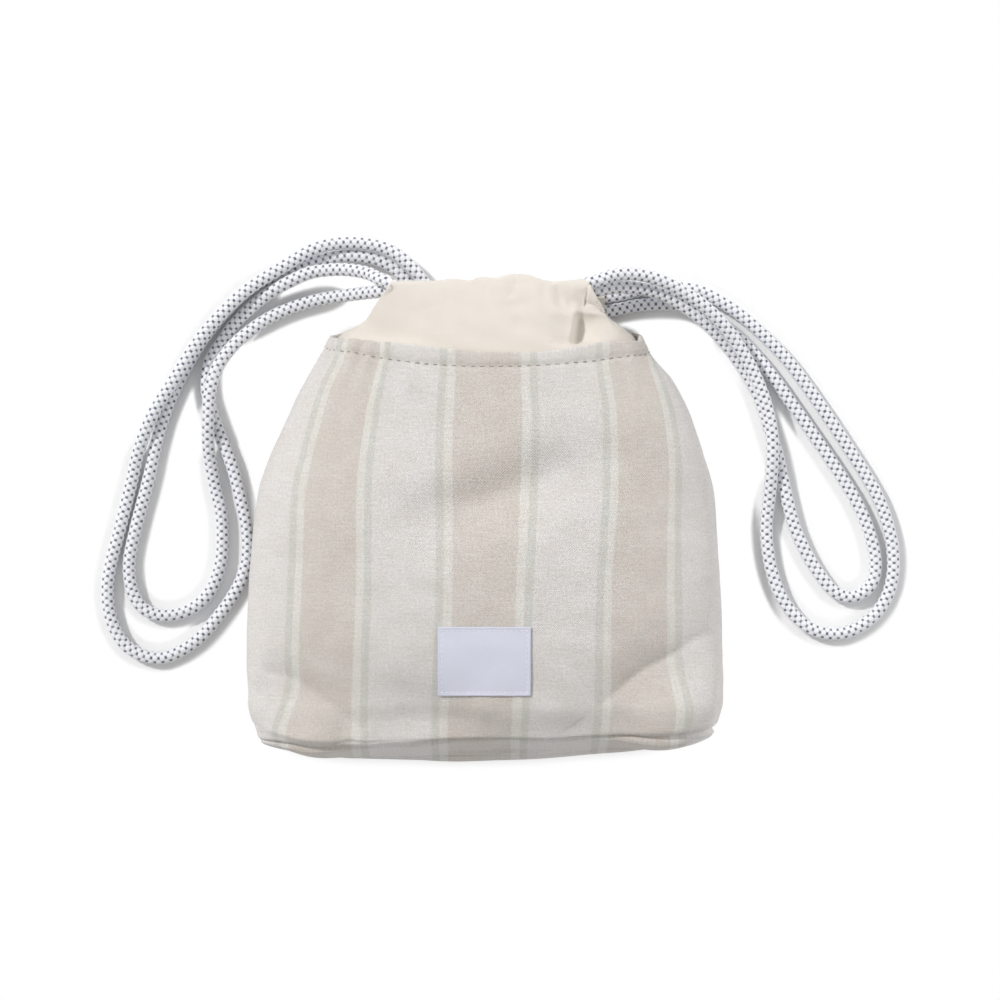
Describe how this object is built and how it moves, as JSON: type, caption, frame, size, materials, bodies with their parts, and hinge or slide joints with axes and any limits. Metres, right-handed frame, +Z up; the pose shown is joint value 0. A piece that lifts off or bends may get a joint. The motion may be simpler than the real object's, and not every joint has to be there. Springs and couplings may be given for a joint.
{
  "type": "drawstring purse",
  "caption": "Striped cloth drawstring purse with a boxed base, lining, gathered collar and braided cord loops on both sides.",
  "frame": {"origin": "on the surface that the purse lies on, under the middle of the bag without its free cords", "axes": "+X to the right and +Y from the base towards the gathered mouth, as seen from above with the label up; +Z up, out of the front of the bag"},
  "size_m": [0.3581, 0.2365, 0.0594],
  "materials": {
    "outer_cloth": "plain-woven cotton and linen, striped in beige, cream and grey-green",
    "lining_cloth": "thin plain-woven cotton",
    "collar_cloth": "cream cotton, gathered",
    "label_cloth": "smooth woven label, blank",
    "sewing_thread": "spun sewing thread",
    "braided_cord": "round diamond braid in white with navy flecks",
    "cord_splice": "braided cord, stitched butt joint"
  },
  "bodies": {
    "bag": {"outer_front": "outer_cloth", "outer_back": "outer_cloth", "lining_front": "lining_cloth", "lining_back": "lining_cloth", "collar_front": "collar_cloth", "collar_back": "collar_cloth", "label": "label_cloth", "label_thread": "sewing_thread", "hem_thread_front": "sewing_thread", "hem_thread_back": "sewing_thread", "casing_thread_front": "sewing_thread", "casing_thread_back": "sewing_thread", "side_seam_thread_left": "sewing_thread", "side_seam_thread_right": "sewing_thread", "base_seam_thread": "sewing_thread", "corner_seam_thread_left": "sewing_thread", "corner_seam_thread_right": "sewing_thread", "outer_cord_front_run": "braided_cord", "inner_cord_front_run": "braided_cord", "outer_cord_splice": "cord_splice", "inner_cord_splice": "cord_splice"},
    "left_tails": {"outer_tail_back_left": "braided_cord", "outer_tail_front_left": "braided_cord", "inner_tail_back_left": "braided_cord", "inner_tail_front_left": "braided_cord"},
    "left_loops": {"outer_loop_left": "braided_cord", "inner_loop_left": "braided_cord"},
    "right_tails": {"outer_tail_back_right": "braided_cord", "outer_tail_front_right": "braided_cord", "inner_tail_back_right": "braided_cord", "inner_tail_front_right": "braided_cord"},
    "right_loops": {"outer_loop_right": "braided_cord", "inner_loop_right": "braided_cord"}
  },
  "joints": [
    {"name": "left_draw", "type": "slide", "parent": "bag", "child": "left_tails", "axis": [-1, 0, 0], "range_m": [0, 0.018]},
    {"name": "left_lift", "type": "hinge", "parent": "left_tails", "child": "left_loops", "pos_m": [-0.052, 0.11, 0.0265], "axis": [0, 1, 0], "range_deg": [0, 75]},
    {"name": "right_draw", "type": "slide", "parent": "bag", "child": "right_tails", "axis": [1, 0, 0], "range_m": [0, 0.018]},
    {"name": "right_lift", "type": "hinge", "parent": "right_tails", "child": "right_loops", "pos_m": [0.056, 0.104, 0.0265], "axis": [0, -1, 0], "range_deg": [0, 75]}
  ]
}
